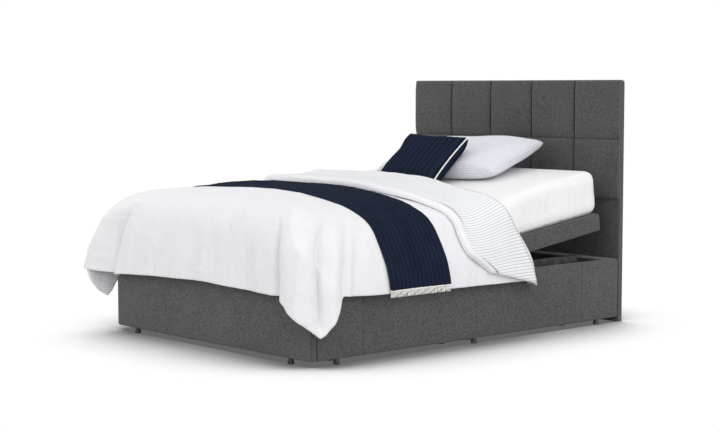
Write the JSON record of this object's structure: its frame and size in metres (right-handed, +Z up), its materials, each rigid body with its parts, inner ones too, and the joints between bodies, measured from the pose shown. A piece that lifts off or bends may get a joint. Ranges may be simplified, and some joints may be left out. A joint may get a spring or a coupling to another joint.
{
  "type": "adjustable bed",
  "caption": "Upholstered adjustable bed with a tiled headboard, hinged motor-lifted deck sections, mattress and dressed bedding.",
  "frame": {"origin": "on the floor, at the centre of the whole bed's outline", "axes": "+Z up, +Y from the foot towards the headboard, +X across the bed"},
  "size_m": [1.55, 2.063, 1.189],
  "materials": {
    "charcoal_cloth": "woven upholstery over board and padding",
    "softwood": "sawn timber",
    "black_plastic": "moulded, fine texture",
    "rubber": "moulded",
    "zinc_steel": "zinc plated",
    "frame_paint": "powder coat",
    "motor_casing": "moulded",
    "rod_steel": "ground and plated",
    "mattress_foam": "foam in a knitted cover",
    "sheet_cotton": "plain cotton",
    "duvet_cotton": "plain cotton over filling",
    "striped_cotton": "cotton with fine stripes",
    "cream_cotton": "twisted cotton tassels",
    "navy_cloth": "ribbed quilted cloth"
  },
  "bodies": {
    "base": {"foot_panel": "charcoal_cloth", "side_panel_right": "charcoal_cloth", "side_panel_left": "charcoal_cloth", "head_rail": "charcoal_cloth", "corner_blocks": "softwood", "panel_glides": "black_plastic", "headboard_board": "charcoal_cloth", "headboard_tiles_upper": "charcoal_cloth", "headboard_tiles_lower": "charcoal_cloth", "headboard_bolts": "zinc_steel", "frame_rails": "frame_paint", "rail_end_caps": "black_plastic", "end_cross_tubes": "frame_paint", "drive_tubes": "frame_paint", "frame_legs": "frame_paint", "leg_feet": "black_plastic", "frame_ties": "zinc_steel", "deck_buffers": "rubber", "seat_spacers": "softwood", "control_box": "black_plastic", "seat_platform": "charcoal_cloth", "seat_hinge_leaves": "zinc_steel", "seat_hinge_pins": "zinc_steel", "motor_clevises": "frame_paint", "frame_pivot_pins": "zinc_steel", "mattress_middle": "mattress_foam", "fitted_sheet_middle": "sheet_cotton", "duvet_seat": "duvet_cotton", "duvet_turn_back": "striped_cotton"},
    "head_section": {"head_platform": "charcoal_cloth", "head_hinge_leaves": "zinc_steel", "head_lift_lugs": "frame_paint", "mattress_head": "mattress_foam", "fitted_sheet_head": "sheet_cotton", "pillow": "striped_cotton", "cushion": "navy_cloth"},
    "thigh_section": {"thigh_platform": "charcoal_cloth", "thigh_hinge_leaves": "zinc_steel", "knee_hinge_thigh_leaves": "zinc_steel", "knee_hinge_pins": "zinc_steel", "thigh_lift_lugs": "frame_paint", "mattress_thigh": "mattress_foam", "fitted_sheet_thigh": "sheet_cotton", "duvet_middle": "duvet_cotton", "runner": "navy_cloth", "runner_fringe": "cream_cotton"},
    "calf_section": {"calf_platform": "charcoal_cloth", "knee_hinge_calf_leaves": "zinc_steel", "calf_brackets": "zinc_steel", "link_calf_pins": "zinc_steel", "mattress_calf": "mattress_foam", "fitted_sheet_calf": "sheet_cotton", "duvet_foot": "duvet_cotton"},
    "calf_link_pair": {"calf_links": "zinc_steel"},
    "head_motor": {"head_motor_housing": "motor_casing"},
    "head_rod": {"head_motor_rod": "rod_steel", "head_motor_rod_pin": "zinc_steel"},
    "leg_motor": {"leg_motor_housing": "motor_casing"},
    "leg_rod": {"leg_motor_rod": "rod_steel", "leg_motor_rod_pin": "zinc_steel"}
  },
  "joints": [
    {"name": "head_tilt", "type": "hinge", "parent": "base", "child": "head_section", "pos_m": [0, 0.0955, 0.419], "axis": [1, 0, 0], "range_deg": [-7.95, 48], "deforming": ["mattress_middle", "fitted_sheet_middle", "duvet_seat", "duvet_turn_back"]},
    {"name": "thigh_tilt", "type": "hinge", "parent": "base", "child": "thigh_section", "pos_m": [0, -0.1615, 0.419], "axis": [-1, 0, 0], "range_deg": [0, 30], "deforming": ["mattress_middle", "fitted_sheet_middle", "duvet_middle", "duvet_seat", "duvet_turn_back", "runner", "runner_fringe"]},
    {"name": "knee_bend", "type": "hinge", "parent": "thigh_section", "child": "calf_section", "pos_m": [0, -0.4815, 0.348], "axis": [1, 0, 0], "range_deg": [0, 30.5], "deforming": ["duvet_middle", "runner", "runner_fringe"]},
    {"name": "calf_link_swing", "type": "hinge", "parent": "base", "child": "calf_link_pair", "pos_m": [0, -0.4715, 0.3], "axis": [-1, 0, 0], "range_deg": [0, 30.5]},
    {"name": "head_motor_tilt", "type": "hinge", "parent": "base", "child": "head_motor", "pos_m": [0.09, -0.1245, 0.224], "axis": [1, 0, 0], "range_deg": [-3, 17.62]},
    {"name": "head_rod_slide", "type": "slide", "parent": "head_motor", "child": "head_rod", "axis": [0, 1, -0.0002], "range_m": [-0.0236, 0.1397]},
    {"name": "leg_motor_tilt", "type": "hinge", "parent": "base", "child": "leg_motor", "pos_m": [-0.09, 0.0585, 0.224], "axis": [-1, 0, 0], "range_deg": [0, 10.61]},
    {"name": "leg_rod_slide", "type": "slide", "parent": "leg_motor", "child": "leg_rod", "axis": [0, -1, 0], "range_m": [0, 0.0937]}
  ],
  "couplings": [
    {"joint": "knee_bend", "follows": "thigh_tilt", "ratio": 1},
    {"joint": "calf_link_swing", "follows": "thigh_tilt", "ratio": 1},
    {"joint": "head_motor_tilt", "follows": "head_tilt", "ratio": 0.36505},
    {"joint": "head_rod_slide", "follows": "head_tilt", "m_per_rad": 0.1662},
    {"joint": "leg_motor_tilt", "follows": "thigh_tilt", "ratio": 0.35022},
    {"joint": "leg_rod_slide", "follows": "thigh_tilt", "m_per_rad": 0.17805}
  ]
}
